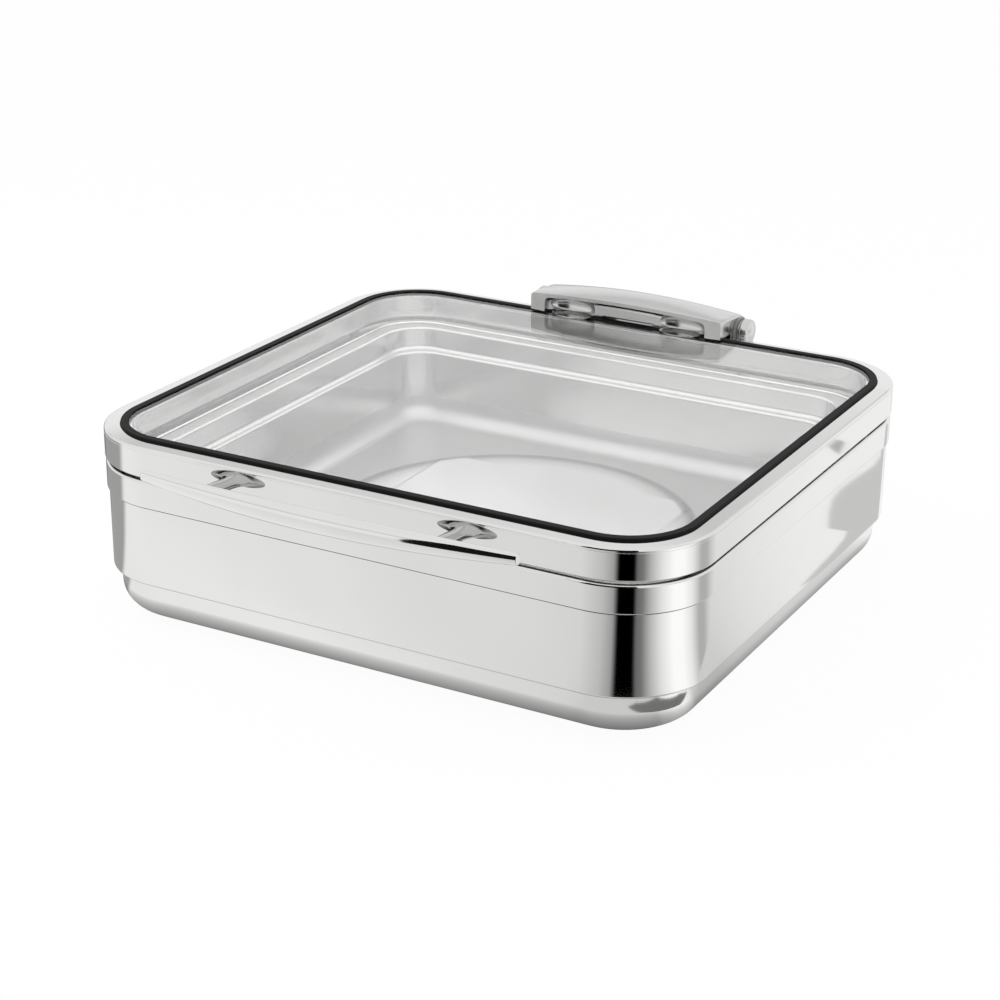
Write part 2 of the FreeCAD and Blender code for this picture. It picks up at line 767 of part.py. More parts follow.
def ear(side):
    """Bracket's ear: round head at the pivot on a thinner gusset that runs down to the plate."""
    x = ear_inner_x if side > 0 else -ear_inner_x - ear_thickness
    head = along_x(ear_radius, x, x + ear_thickness, pivot_y, pivot_z)
    head = head.makeFillet(ear_edge_radius, [e for e in head.Edges if e.BoundBox.XLength < 1e-4])
    seat = band_y_face()
    points = [
        (seat + bracket_plate - ear_edge_radius, bracket_top_z - ear_edge_radius),
        (pivot_y - ear_radius * ear_web_share, pivot_z - ear_web_drop),
        (pivot_y, pivot_z),
        (pivot_y + ear_radius * ear_web_share, pivot_z - ear_web_drop),
        (seat + bracket_plate + ear_foot_run, bracket_bottom_z + ear_web_drop),
        (seat, bracket_bottom_z),
        (seat, bracket_top_z - ear_edge_radius),
    ]
    web_x = x + ear_edge_radius
    wire = Part.makePolygon([Vector(web_x, y, z) for y, z in points + points[:1]])
    web = Part.Face(wire).extrude(Vector(ear_thickness - 2 * ear_edge_radius, 0, 0))
    return head.fuse(web)


def band_y_face():
    """Outer face of the rim's band at the back, with the bracket's seat clearance."""
    return body_y + sheet_fit + rim_sheet + sheet_fit


def hinge_bracket():
    """Cast bracket on the back of the rim: a long plate with an ear at each end."""
    half = ear_inner_x + ear_thickness
    low = Vector(-half, band_y_face(), bracket_bottom_z)
    plate = Part.makeBox(2 * half, bracket_plate, bracket_top_z - bracket_bottom_z, low)
    corners = [e for e in plate.Edges if e.BoundBox.YLength > bracket_plate * 0.9]
    plate = plate.makeFillet(bracket_corner, corners)
    bracket = plate.fuse(ear(-1)).fuse(ear(1)).removeSplitter()
    bracket = bracket.cut(along_x(pin_radius + running_fit, -half - past, half + past, pivot_y, pivot_z))
    for x in stud_spacings:
        hole_end = low.y + bracket_plate + past
        bracket = bracket.cut(along_y(stud_radius + screw_fit, low.y - past, hole_end, x, stud_z))
    return bracket


def bracket_studs():
    """Weld studs on the back of the rim that carry the bracket."""
    seat = band_y_face() - sheet_fit
    studs = [along_y(stud_radius, seat, seat + stud_length, x, stud_z) for x in stud_spacings]
    return Part.makeCompound(studs)


def bracket_washers():
    """Washers under the bracket's nuts."""
    seat = band_y_face() + bracket_plate
    washers = []
    for x in stud_spacings:
        disc = along_y(washer_radius, seat, seat + stud_washer_sheet, x, stud_z)
        hole_end = seat + stud_washer_sheet + past
        washers.append(disc.cut(along_y(stud_radius + screw_fit, seat - past, hole_end, x, stud_z)))
    return Part.makeCompound(washers)


def bracket_nuts():
    """Hexagon nuts on the studs."""
    seat = band_y_face() + bracket_plate + stud_washer_sheet
    corner = nut_flats / (2 * cos(pi / 6))
    nuts = []
    for x in stud_spacings:
        turns = [k * pi / 3 for k in range(7)]
        corners = [Vector(x + corner * cos(t), seat, stud_z + corner * sin(t)) for t in turns]
        nut = Part.Face(Part.makePolygon(corners)).extrude(Vector(0, nut_height, 0))
        hole_end = seat + nut_height + past
        nuts.append(nut.cut(along_y(stud_radius + running_fit, seat - past, hole_end, x, stud_z)))
    return Part.makeCompound(nuts)


def main():
    """Builds every piece and writes each one to its own file."""
    body = {
        "water_pan": water_pan(),
        "rim_frame": rim_frame(),
        "base_core": base_core(),
        "base_cap": base_cap(),
        "food_pan": food_pan(),
        "rim_bumpers": rim_bumpers(),
        "lid_frame": drilled_lid_frame(),
        "lid_inner_ring": lid_inner_ring(),
        "glass_gasket": glass_gasket(),
        "glass_pane": glass_pane(),
        "handle_bar": handle_shape(0),
        "handle_post_left": handle_post(-1),
        "handle_post_right": handle_post(1),
        "handle_washers": handle_washers(),
        "handle_screws": handle_screws(),
    }
    hinge = {
        "hinge_cover": hinge_cover(),
        "cover_backing_plate": cover_backing_plate(),
        "cover_screws": cover_screws(),
        "hinge_bushing_left": hinge_bushing(-1),
        "hinge_bushing_right": hinge_bushing(1),
        "damper_sleeve": damper_sleeve(),
        "damper_rotor": damper_rotor(),
        "spring_washers": spring_washers(),
        "hinge_pin": hinge_pin(),
        "pivot_caps": pivot_caps(),
        "hinge_bracket": hinge_bracket(),
        "bracket_studs": bracket_studs(),
        "bracket_washers": bracket_washers(),
        "bracket_nuts": bracket_nuts(),
    }
    for shape in hinge.values():
        shape.translate(Vector(hinge_x, 0, 0))
    os.makedirs("parts", exist_ok=True)
    for name, shape in {**body, **hinge}.items():
        solids = shape.Solids
        print(name, "solids", len(solids), "valid", shape.isValid(), "cm3", round(shape.Volume / 1000, 2))
        shape.exportStep("parts/" + name + ".step")


main()
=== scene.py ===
import json
import math

import bmesh
import bpy
import numpy as np
from bpy.props import FloatProperty, FloatVectorProperty, PointerProperty
from mathutils import Matrix, Vector


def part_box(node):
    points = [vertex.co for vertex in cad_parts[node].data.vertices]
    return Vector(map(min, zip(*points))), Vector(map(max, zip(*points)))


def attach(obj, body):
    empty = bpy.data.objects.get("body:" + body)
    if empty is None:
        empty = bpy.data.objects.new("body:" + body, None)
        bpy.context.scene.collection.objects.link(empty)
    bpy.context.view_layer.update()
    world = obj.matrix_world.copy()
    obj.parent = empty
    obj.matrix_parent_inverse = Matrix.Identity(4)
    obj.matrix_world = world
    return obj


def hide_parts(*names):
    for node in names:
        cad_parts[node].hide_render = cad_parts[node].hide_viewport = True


bl_info = {
    "name": "Induction chafing dish",
    "version": (1, 0, 0),
    "blender": (4, 5, 0),
    "location": "View3D > Sidebar > Dish",
    "description": "Surfaces, finishes and studio of an induction chafing dish with a hinged glass lid",
    "category": "Add Mesh",
}

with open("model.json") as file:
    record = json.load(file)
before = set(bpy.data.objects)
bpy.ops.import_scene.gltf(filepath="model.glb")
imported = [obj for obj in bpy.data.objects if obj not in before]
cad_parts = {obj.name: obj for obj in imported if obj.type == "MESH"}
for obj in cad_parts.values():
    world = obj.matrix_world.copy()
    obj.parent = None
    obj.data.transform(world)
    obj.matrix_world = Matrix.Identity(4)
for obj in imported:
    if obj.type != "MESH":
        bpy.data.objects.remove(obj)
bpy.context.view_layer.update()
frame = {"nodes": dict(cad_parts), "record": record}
MM = 0.001
NODES = frame["nodes"]
SLOTS = {part["node"]: part["material_slot"] for part in frame["record"]["subparts"]}

# Boxes of the nodes that the new surfaces are fitted to
PAN_LOW, PAN_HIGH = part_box("water_pan")
RIM_LOW, RIM_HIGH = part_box("rim_frame")
LID_LOW, LID_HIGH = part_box("lid_frame")
RING_LOW, RING_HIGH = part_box("lid_inner_ring")
GASKET_LOW, GASKET_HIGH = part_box("glass_gasket")
GLASS_LOW, GLASS_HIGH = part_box("glass_pane")
FOOD_LOW, FOOD_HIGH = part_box("food_pan")
CAP_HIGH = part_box("base_cap")[1]
BAR_LOW, BAR_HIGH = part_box("handle_bar")

# Painted reflection: the floor's glow in mirrors, by azimuth in degrees from the front towards the
# right
FLOOR_TONES = (
    (-180, 0.60), (-120, 0.70), (-70, 0.80), (-52, 0.74), (-20, 0.66), (3, 0.50), (14, 0.33), (19, 0.0),
    (36, 0.0), (39, 0.13), (45, 0.18), (54, 0.46), (66, 0.76), (80, 0.98), (92, 0.98), (104, 0.80),
    (117, 0.42), (126, 0.42), (136, 0.60), (146, 0.70), (153, 0.76), (160, 0.82), (172, 0.82),
    (180, 0.60),
)

# Painted shade in the floor's reflection: tones by azimuth about the left corner, which darken the ones
# above
LEFT_TONES = (
    (-180, 1.0), (-162, 0.6), (-140, 0.14), (-124, 0.14), (-108, 0.42), (-69, 0.42), (-61, 1.0),
    (180, 1.0),
)

# Tones of the sky in mirrors, by the height of the ray's direction
SKY_TONES = ((0.0, 0.98), (0.34, 0.98), (0.42, 0.66), (0.50, 0.92), (0.75, 0.96), (1.0, 0.90))

FLOOR_GAIN = 1.25  # brightness of the floor's tones in mirrors
FLOOR_GLOW = 0.96  # share of its own light in the floor that is seen straight
GLASS_GAIN = 1.55  # brightness of the sky's tones through the glass

# Black card before the near corner: radius and height in metres, and its two ends in degrees from the
# front towards the right
CARD_RADIUS, CARD_TOP = 0.7, 0.8
CARD_TURN = (-23, 40)

# Glowing grey cards on the floor, seen only in mirrors, that paint grey reflections on the right wall,
# the lid's skirt and the near corner's foot: name, tone and outline in mm
PAINTED_REFLECTION_CARDS = (
    ("wall_card", 0.66, ((228, 77), (229, 106), (230, 141), (232, 166), (235, 180), (249, 179),
                         (259, 206), (266, 230), (268, 251), (264, 308), (268, 339), (270, 420),
                         (215, 420), (214, 213), (220, 120))),
    ("skirt_card", 0.42, ((299, 316), (311, 328), (312, 345), (305, 344))),
    ("foot_card", 0.20, ((197, -213), (212, -207), (238, -179), (242, -129), (236, -112), (231, -123),
                         (223, -148), (211, -186))),
)

# Camera: place in metres, focal length in mm, and azimuth, pitch and roll in degrees
CAMERA_PLACE = (0.66230, -1.21142, 0.60397)
CAMERA_LENS = 84.1735
CAMERA_TURN = (28.8927, 21.7584, 0.4480)

# The dish's main wall: half lengths and corner radius
WALL_X, WALL_Y = PAN_HIGH.x, PAN_HIGH.y
WALL_CORNER = 53 * MM

# The handle's posts: distance from the middle, and height of their feet on the skirt
POST_X, POST_FOOT = 76 * MM, 115 * MM

# Pieces that are smooth copies of their nodes: name, body and node
SMOOTH_COPIES = (
    ("hinge_cover_surface", "lid", "hinge_cover"),
    ("bracket_surface", "dish", "hinge_bracket"),
    ("cap_surfaces", "dish", "pivot_caps"),
    ("stud_surfaces", "dish", "bracket_studs"),
    ("nut_surfaces", "dish", "bracket_nuts"),
    ("stud_washer_surfaces", "dish", "bracket_washers"),
    ("spring_washer_surfaces", "dish", "spring_washers"),
    ("bushing_surface_left", "lid", "hinge_bushing_left"),
    ("bushing_surface_right", "lid", "hinge_bushing_right"),
    ("bumper_surfaces", "dish", "rim_bumpers"),
)
MERGE = 0.002 * MM  # distance within which a node's corners are one
CRISP_ANGLE = math.radians(32)  # edges that turn further stay crisp

# Painted light on the food pan's floor: shade outside its raised round area, highlight inside, shade on
# its edge
PAN_OUTSIDE_SHADE, PAN_INSIDE_HIGHLIGHT, PAN_EDGE_SHADE = (0.54, 0.54, 0.535), (0.90, 0.90, 0.895), (0.26, 0.26, 0.26)
PAN_DULL = 0.24  # how much rougher the food pan is at its foot
SWAY_SCALE = (9, 9, 14)  # waves per metre of the polished sheet's sway
SMEAR_TINT, MOTTLE_TINT = 0.965, 0.85  # darkening of a colour by the smears and by the mottle

# Where each kind of shader node keeps its mode
NODE_MODES = {"Math": "operation", "VectorMath": "operation", "MapRange": "interpolation_type",
              "Mix": "data_type"}


class DishShape(bpy.types.PropertyGroup):
    """Small forms of the folded and drawn metal."""
    sheet_edge: FloatProperty(
        name="Sheet edge", description="Rounding of a cut sheet edge", default=0.25 * MM, unit="LENGTH")
    bowl_radius: FloatProperty(
        name="Bowl radius", description="Rounding between the outer wall and the floor",
        default=17 * MM, unit="LENGTH")
    crease_width: FloatProperty(
        name="Crease width", description="Width of the groove under the lid's shoulder",
        default=0.7 * MM, unit="LENGTH")
    crease_depth: FloatProperty(
        name="Crease depth", description="Depth of the groove under the lid's shoulder",
        default=0.22 * MM, unit="LENGTH")
    groove_height: FloatProperty(
        name="Groove height", description="Height of the groove under the rim's band",
        default=0.6 * MM, unit="LENGTH")
    groove_depth: FloatProperty(
        name="Groove depth", description="Depth of the groove under the rim's band",
        default=0.6 * MM, unit="LENGTH")
    boss_radius: FloatProperty(
        name="Floor boss radius", description="Radius of the raised round area in the food pan's floor",
        default=118 * MM, unit="LENGTH")
    boss_height: FloatProperty(
        name="Floor boss height", description="Height of the raised round area in the food pan's floor",
        default=1.6 * MM, unit="LENGTH")


class DishFinish(bpy.types.PropertyGroup):
    """Colours and polish."""
    steel_color: FloatVectorProperty(
        name="Steel", description="Colour of the polished stainless steel", subtype="COLOR",
        default=(0.80, 0.80, 0.79))
    polish: FloatProperty(
        name="Polish", description="Roughness of the polished steel", default=0.06, min=0.0, max=1.0)
    satin: FloatProperty(
        name="Satin", description="Roughness of the food pan's satin steel", default=0.17,
        min=0.0, max=1.0)
    sway: FloatProperty(
        name="Sway", description="Height of the slow waves in the polished sheet", default=0.25 * MM,
        unit="LENGTH")
    seal_color: FloatVectorProperty(
        name="Seal", description="Colour of the silicone seal", subtype="COLOR",
        default=(0.010, 0.010, 0.011))
    glass_color: FloatVectorProperty(
        name="Glass", description="Tint of the lid's glass", subtype="COLOR",
        default=(0.985, 0.99, 0.987))


class DishStudio(bpy.types.PropertyGroup):
    """Floor and lamps."""
    floor_color: FloatVectorProperty(
        name="Floor", description="Colour of the floor", subtype="COLOR", default=(0.9, 0.9, 0.9))
    key_power: FloatProperty(
        name="Key lamp", description="Power of the key lamp", default=9.0, unit="POWER")
    fill_power: FloatProperty(
        name="Fill lamp", description="Power of the fill lamp", default=4.0, unit="POWER")
    room_light: FloatProperty(
        name="Room light", description="Strength of the room's even light", default=0.75)


# Surfaces

def from_wall(place):
    """Distance of a place along X outwards from the dish's main wall, in mm."""
    return (place - WALL_X) / MM


def unit(vectors):
    """Vectors scaled to length 1."""
    return vectors / np.maximum(np.linalg.norm(vectors, axis=-1, keepdims=True), 1e-12)


def arc_steps(turn, radius):
    """Number of steps along an arc: more for a long arc than for a sheet's edge."""
    per_turn = 10 if radius > 2 * MM else 4
    return max(2, int(math.ceil(abs(turn) / (math.pi / 2) * per_turn)))


def folded(corners, closed=True):
    """Profile of a folded sheet, as points and outward normals in the plane (distance, height).

    Corners are (distance, height, radius) in mm. Each corner is replaced by the arc of its radius that
    touches both neighbouring runs: centre = corner + (unit sum of both runs) r / sin(half angle)."""
    table = np.array(corners, float) * MM
    count = len(table)
    points, normals = [], []
    for i in range(count):
        here = table[i, :2]
        if not closed and i in (0, count - 1):
            other = table[1, :2] if i == 0 else table[count - 2, :2]
            run = unit(other - here if i == 0 else here - other)
            points.append(here[None])
            normals.append(np.array([[run[1], -run[0]]]))
            continue
        back = unit(table[i - 1, :2] - here)
        on = unit(table[(i + 1) % count, :2] - here)
        half = math.acos(max(-1.0, min(1.0, float(back @ on)))) / 2
        turn = math.pi - 2 * half
        radius = table[i, 2]
        side = math.copysign(1.0, float(-back[0] * on[1] + back[1] * on[0]))
        centre = here + unit(back + on) * radius / math.sin(half)
        start = np.array([-back[1], back[0]])
        angles = side * np.linspace(0, turn, arc_steps(turn, radius) + 1)
        c, s = np.cos(angles), np.sin(angles)
        normal = np.stack([start[0] * c - start[1] * s, start[0] * s + start[1] * c], 1)
        points.append(centre + side * normal * radius)
        normals.append(normal)
    return np.concatenate(points), np.concatenate(normals)


def outline_frame():
    """Round the dish once: the corner centres' signs and the outward unit directions of its outline."""
    steps = 20
    signs, directions = [], []
    for k, (sx, sy) in enumerate(((1, -1), (1, 1), (-1, 1), (-1, -1))):
        turn = np.linspace(-math.pi / 2, 0, steps + 1) + k * math.pi / 2
        directions.append(np.stack([np.cos(turn), np.sin(turn)], 1))
        signs.append(np.tile([sx, sy], (steps + 1, 1)))
    return np.concatenate(signs).astype(float), np.concatenate(directions)


def carried(points, normals, share=1.0, inset=0.0, corner=WALL_CORNER):
    """Profile carried round the dish's rounded rectangle.

    A profile point (d, z) goes to  C + s (1 - share) d + u (R + share d)  at height z, where C is the
    corner's centre, s its signs, u the outline's outward direction and R the corner's radius."""
    signs, out = outline_frame()
    centre = signs * (np.array([WALL_X, WALL_Y]) - inset - corner)
    d = points[:, 0][:, None, None]
    plan = centre[None] + signs[None] * (1 - share) * d + out[None] * (corner + share * d)
    height = np.broadcast_to(points[:, 1][:, None, None], plan.shape[:2] + (1,))
    rings = np.concatenate([plan, height], 2)
    slope = (1 - share) * np.sum(signs * out, 1) + share
    flat = normals[:, 0][:, None, None] * out[None]
    up = normals[:, 1][:, None] * slope[None]
    return rings, unit(np.concatenate([flat, up[:, :, None]], 2))


def ring_faces(rows, columns, closed):
    """Quads between following rows, which wrap round the columns, and round the rows when closed."""
    i = np.arange(rows if closed else rows - 1)
    j = np.arange(columns)
    a, b = np.meshgrid(i, j, indexing="ij")
    a2, b2 = (a + 1) % rows, (b + 1) % columns
    quads = np.stack([a * columns + b, a * columns + b2, a2 * columns + b2, a2 * columns + b], 2)
    return quads.reshape(-1, 4)


def piece(name, rings, turned, body, node, looks, closed=False):
    """Object from rows of points with their normals. Open rows are closed with flat end faces."""
    rows, columns = rings.shape[:2]
    faces = ring_faces(rows, columns, closed).tolist()
    if not closed:
        faces.append(list(range(columns))[::-1])
        faces.append(list(range((rows - 1) * columns, rows * columns)))
    mesh = bpy.data.meshes.new(name)
    mesh.from_pydata(rings.reshape(-1, 3).tolist(), [], faces)
    mesh.shade_smooth()
    mesh.normals_split_custom_set_from_vertices(turned.reshape(-1, 3).tolist())
    mesh.update()
    return placed(name, mesh, body, node, looks)


def swept(name, body, node, looks, corners, closed=False):
    """Piece from a profile's corners, carried round the dish."""
    return piece(name, *carried(*folded(corners, closed)), body, node, looks, closed)


def placed(name, mesh, body, node, looks):
    """Object for a mesh, riding on its body, in place of its node, with the node's slot and finish."""
    obj = bpy.data.objects.new(name, mesh)
    bpy.context.scene.collection.objects.link(obj)
    mesh.materials.clear()
    mesh.materials.append(looks[SLOTS[node]])
    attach(obj, body)
    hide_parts(node)
    return obj


def measured_normals(rings):
    """Normals of rows of points that wrap round their columns, from their own slopes."""
    along = np.gradient(rings, axis=0)
    around = np.roll(rings, -1, 1) - np.roll(rings, 1, 1)
    return unit(np.cross(around, along))


def smooth_copy(name, body, node, looks):
    """Merged copy of a CAD node with smooth curved faces and crisp edges."""
    mesh = NODES[node].data.copy()
    mesh.name = name
    form = bmesh.new()
    form.from_mesh(mesh)
    bmesh.ops.remove_doubles(form, verts=form.verts, dist=MERGE)
    bmesh.ops.dissolve_degenerate(form, dist=MERGE / 2, edges=form.edges)
    form.to_mesh(mesh)
    form.free()
    if "custom_normal" in mesh.attributes:
        mesh.attributes.remove(mesh.attributes["custom_normal"])
    mesh.shade_smooth()
    mesh.set_sharp_from_angle(angle=CRISP_ANGLE)
    weighted = placed(name, mesh, body, node, looks).modifiers.new("face_weights", "WEIGHTED_NORMAL")
    weighted.keep_sharp = True
    weighted.weight = 50


# Shader nodes

def feed(tree, node, *terms, **named):
    """Fill a node's inputs, in their order or by name with _ for a space. A term is a value, an output,
    or a node that stands for its first output in use."""
    for place, term in [*enumerate(terms), *named.items()]:
        inlet = node.inputs[place if isinstance(place, int) else place.replace("_", " ")]
        if isinstance(term, bpy.types.Node):
            term = next(outlet for outlet in term.outputs if outlet.enabled)
        if isinstance(term, bpy.types.NodeSocket):
            tree.links.new(term, inlet)
        else:
            inlet.default_value = term


def put(tree, kind, mode=None, *terms, **named):
    """New shader node in its mode, with its inputs fed."""
    node = tree.nodes.new("ShaderNode" + kind)
    if mode:
        setattr(node, NODE_MODES[kind], mode)
    feed(tree, node, *terms, **named)
    return node


def put_group(tree, group, **named):
    """Node group placed in a material, with its inputs fed."""
    node = tree.nodes.new("ShaderNodeGroup")
    node.node_tree = group
    feed(tree, node, **named)
    return node


def soft_step(tree, value, none, full):
    """Mask that rises softly from 0 where the value is none to 1 where it is full."""
    return put(tree, "MapRange", "SMOOTHSTEP", Value=value, From_Min=none, From_Max=full)


def rest(tree, mask):
    """What a mask leaves, 1 - mask."""
    return put(tree, "Math", "SUBTRACT", 1.0, mask)


def tinted(tree, mask, color, darker):
    """Colour that the mask darkens."""
    return put(tree, "Mix", "RGBA", Factor=mask, A=(*color, 1), B=(*[c * darker for c in color], 1))


def new_group(name, inlets, outlets):
    """Node group with inputs of the given values and outputs that are numbers, and its two ends."""
    group = bpy.data.node_groups.new(name, "ShaderNodeTree")
    for label, value in inlets.items():
        kind = "NodeSocketVector" if isinstance(value, tuple) else "NodeSocketFloat"
        group.interface.new_socket(name=label, in_out="INPUT", socket_type=kind).default_value = value
    for label in outlets:
        group.interface.new_socket(name=label, in_out="OUTPUT", socket_type="NodeSocketFloat")
    return group, group.nodes.new("NodeGroupInput").outputs, group.nodes.new("NodeGroupOutput")


def new_material(name):
    """New material: itself, its node tree and its shader."""
    material = bpy.data.materials.new(name)
    material.use_nodes = True
    return material, material.node_tree, material.node_tree.nodes["Principled BSDF"]


def object_place(tree):
    """Place on the object, in metres."""
    return put(tree, "TexCoord").outputs["Object"]


def set_stops(ramp, stops):
    """Grey stops of a colour ramp, as places with their values."""
    elements = ramp.color_ramp.elements
    while len(elements) < len(stops):
        elements.new(0.5)
    for element, (place, value) in zip(elements, stops):
        element.position = place
    for element, (place, value) in zip(elements, stops):
        element.color = (value, value, value, 1)


# Finishes

def smear_group():
    """Node group: broad cloudy smears of wiping, as a mask from 0 to 1."""
    if "wiped_metal" in bpy.data.node_groups:
        return bpy.data.node_groups["wiped_metal"]
    group, inlet, outlet = new_group(
        "wiped_metal", {"Place": (0, 0, 0), "Smear Scale": 14.0}, ["Smears"])
    smear = put(group, "TexNoise", Vector=inlet["Place"], Scale=inlet["Smear Scale"], Detail=2.0,
                Roughness=0.45)
    feed(group, outlet, Smears=soft_step(group, smear, 0.3, 0.75))
    return group


def disc_group():
    """Node group: masks from 0 to 1 of the food pan's floor, the inside of its raised round area, the
    area's edge and the walls' rounded foot. From soft masks f of the flat floor, i of the inside and e
    of the edge, with p = (1 - f) (1 - i) and t = p (1 - e), the floor's mask is 1 - t^6, that of the
    inside i / (1 - p) and that of the edge e / (1 - t)."""
    group, inlet, outlet = new_group(
        "floor_disc", {"Place": (0, 0, 0)}, ["Inside", "Edge", "Floor", "Foot"])
    radius = bpy.context.scene.dish_shape.boss_radius
    away = put(group, "VectorMath", "LENGTH",
               put(group, "VectorMath", "MULTIPLY", inlet["Place"], (1, 1, 0)))
    height = put(group, "SeparateXYZ", None, inlet["Place"]).outputs["Z"]
    rise = soft_step(group, away, radius - 7 * MM, radius)
    fall = soft_step(group, away, radius + 4 * MM, radius + 1 * MM)
    edge = put(group, "Math", "MULTIPLY", rise, fall)
    inside = soft_step(group, away, radius + 2 * MM, radius - 20 * MM)
    flat = soft_step(group, height, FOOD_LOW.z + 2.2 * MM, FOOD_LOW.z + 1.2 * MM)
    p = put(group, "Math", "MULTIPLY", rest(group, flat), rest(group, inside))
    t = put(group, "Math", "MULTIPLY", p, rest(group, edge))
    feed(group, outlet, Inside=put(group, "Math", "DIVIDE", inside, rest(group, p)),
         Edge=put(group, "Math", "DIVIDE", edge, rest(group, t)),
         Floor=rest(group, put(group, "Math", "POWER", t, 6.0)),
         Foot=soft_step(group, height, FOOD_LOW.z + 20 * MM, FOOD_LOW.z + 12 * MM))
    return group


def pan_metal(name, color, roughness):
    """Satin metal of the food pan: a duller floor and foot, and a floor with a painted highlight in its
    raised round area and painted shade along the area's edge and outside it."""
    if name in bpy.data.materials:
        return bpy.data.materials[name]
    material = metal(name, color, roughness, 0.02)
    tree = material.node_tree
    shader = tree.nodes["Principled BSDF"]
    disc = put_group(tree, disc_group(), Place=object_place(tree)).outputs
    polish = shader.inputs["Roughness"].links[0].from_socket
    wall = shader.inputs["Base Color"].links[0].from_socket
    # Painted light: the raised round area lighter, its edge and the floor outside it darker
    level = put(tree, "Mix", "RGBA", Factor=disc["Inside"], A=(*PAN_OUTSIDE_SHADE, 1), B=(*PAN_INSIDE_HIGHLIGHT, 1))
    painted_floor = put(tree, "Mix", "RGBA", Factor=disc["Edge"], A=level, B=(*PAN_EDGE_SHADE, 1))
    feed(tree, shader, Base_Color=put(tree, "Mix", "RGBA", Factor=disc["Floor"], A=wall, B=painted_floor),
         Roughness=put(tree, "Math", "MULTIPLY_ADD", disc["Foot"], PAN_DULL, polish))
    return material


def metal(name, color, roughness, smear_gain=0.03, bump=0.0, grain=None, sway=0.0):
    """Metal with wiping smears in its roughness and colour and, if asked, a grain, or the slow sway of
    a pressed and polished sheet."""
    if name in bpy.data.materials:
        return bpy.data.materials[name]
    material, tree, shader = new_material(name)
    place = object_place(tree)
    smears = put_group(tree, smear_group(), Place=place)
    tint = tinted(tree, smears, color, SMEAR_TINT)
    feed(tree, shader, Metallic=1.0, Base_Color=tint,
         Roughness=put(tree, "Math", "MULTIPLY_ADD", smears, smear_gain, roughness))
    if grain or sway:
        stretch = put(tree, "Mapping", Vector=place, Scale=grain or SWAY_SCALE)
        strokes = put(tree, "TexNoise", Vector=stretch, Scale=1.0, Detail=4.0 if grain else 0.0)
        relief = put(tree, "Bump", Height=strokes, Strength=bump if grain else 1.0,
                     Distance=0.1 * MM if grain else sway)
        feed(tree, shader, Normal=relief)
    return material


def plain(name, color, roughness, gloss=0.5):
    """Rubber or plastic: a fine grain in its relief and a slight mottle in its colour."""
    if name in bpy.data.materials:
        return bpy.data.materials[name]
    material, tree, shader = new_material(name)
    grain = put(tree, "TexNoise", Vector=object_place(tree), Scale=1200.0, Detail=3.0)
    tint = tinted(tree, grain, color, MOTTLE_TINT)
    relief = put(tree, "Bump", Height=grain, Strength=0.15, Distance=0.05 * MM)
    feed(tree, shader, Base_Color=tint, Roughness=roughness, Specular_IOR_Level=gloss, Normal=relief)
    return material


def clear_glass(name, color):
    """Toughened glass with faint wiping smears in its polish."""
    if name in bpy.data.materials:
        return bpy.data.materials[name]
    material, tree, shader = new_material(name)
    smears = put_group(tree, smear_group(), Place=object_place(tree), Smear_Scale=6.0)
    feed(tree, shader, Base_Color=(*color, 1), Transmission_Weight=1.0, IOR=1.5,
         Roughness=put(tree, "Math", "MULTIPLY_ADD", smears, 0.012, 0.002))
    return material


def finishes():
    """Materials by the record's slot names."""
    look = bpy.context.scene.dish_finish
    steel = tuple(look.steel_color)
    return {
        "outer_steel": metal("polished_outer_steel", steel, look.polish, sway=look.sway),
        "rim_steel": metal("polished_rim_steel", steel, look.polish, sway=look.sway),
        "lid_steel": metal("polished_lid_steel", steel, look.polish, sway=look.sway),
        "handle_steel": metal("polished_handle_steel", (0.80, 0.80, 0.79), look.polish * 0.8),
        # The posts' polished steel is painted darker than the bar's: a painted dark reflection
        "post_steel": metal("polished_post_steel", (0.46, 0.46, 0.455), look.polish),
        "food_pan_steel": pan_metal("satin_pan_steel", (0.62, 0.62, 0.615), look.satin),
        "inner_ring_steel": metal("satin_ring_steel", (0.60, 0.60, 0.59), 0.16, 0.02),
        "base_steel": metal("satin_base_steel", (0.60, 0.60, 0.59), 0.3, 0.05, 0.2, (70, 1800, 1800)),
        "core_aluminium": metal(
            "rolled_aluminium", (0.75, 0.75, 0.76), 0.32, 0.05, 0.2, (1500, 60, 1500)),
        "cover_casting": metal("satin_casting", (0.62, 0.62, 0.615), 0.17, 0.02, 0.02, (900, 900, 900)),
        "bracket_casting": metal("satin_bracket", (0.66, 0.66, 0.65), 0.2, 0.03, 0.04, (900, 900, 900)),
        "fastener_steel": metal("zinc_fasteners", (0.62, 0.63, 0.64), 0.28, 0.06),
        "pin_steel": metal("ground_pin", (0.70, 0.70, 0.70), 0.12),
        "cap_chrome": metal("satin_caps", (0.70, 0.70, 0.70), 0.22),
        "damper_steel": metal("turned_sleeve", (0.60, 0.60, 0.60), 0.25, 0.03, 0.2, (2500, 60, 60)),
        "gasket_rubber": plain("black_silicone", tuple(look.seal_color), 0.6, 0.12),
        "bumper_rubber": plain("bumper_rubber", (0.03, 0.03, 0.03), 0.6, 0.3),
        "bushing_plastic": plain("grey_acetal", (0.30, 0.30, 0.29), 0.4),
        "damper_plastic": plain("black_plastic", (0.03, 0.03, 0.03), 0.4),
        "lid_glass": clear_glass("clear_lid_glass", tuple(look.glass_color)),
    }


# Pieces. The profiles list corners as (distance out from the main wall, height, radius) in mm.

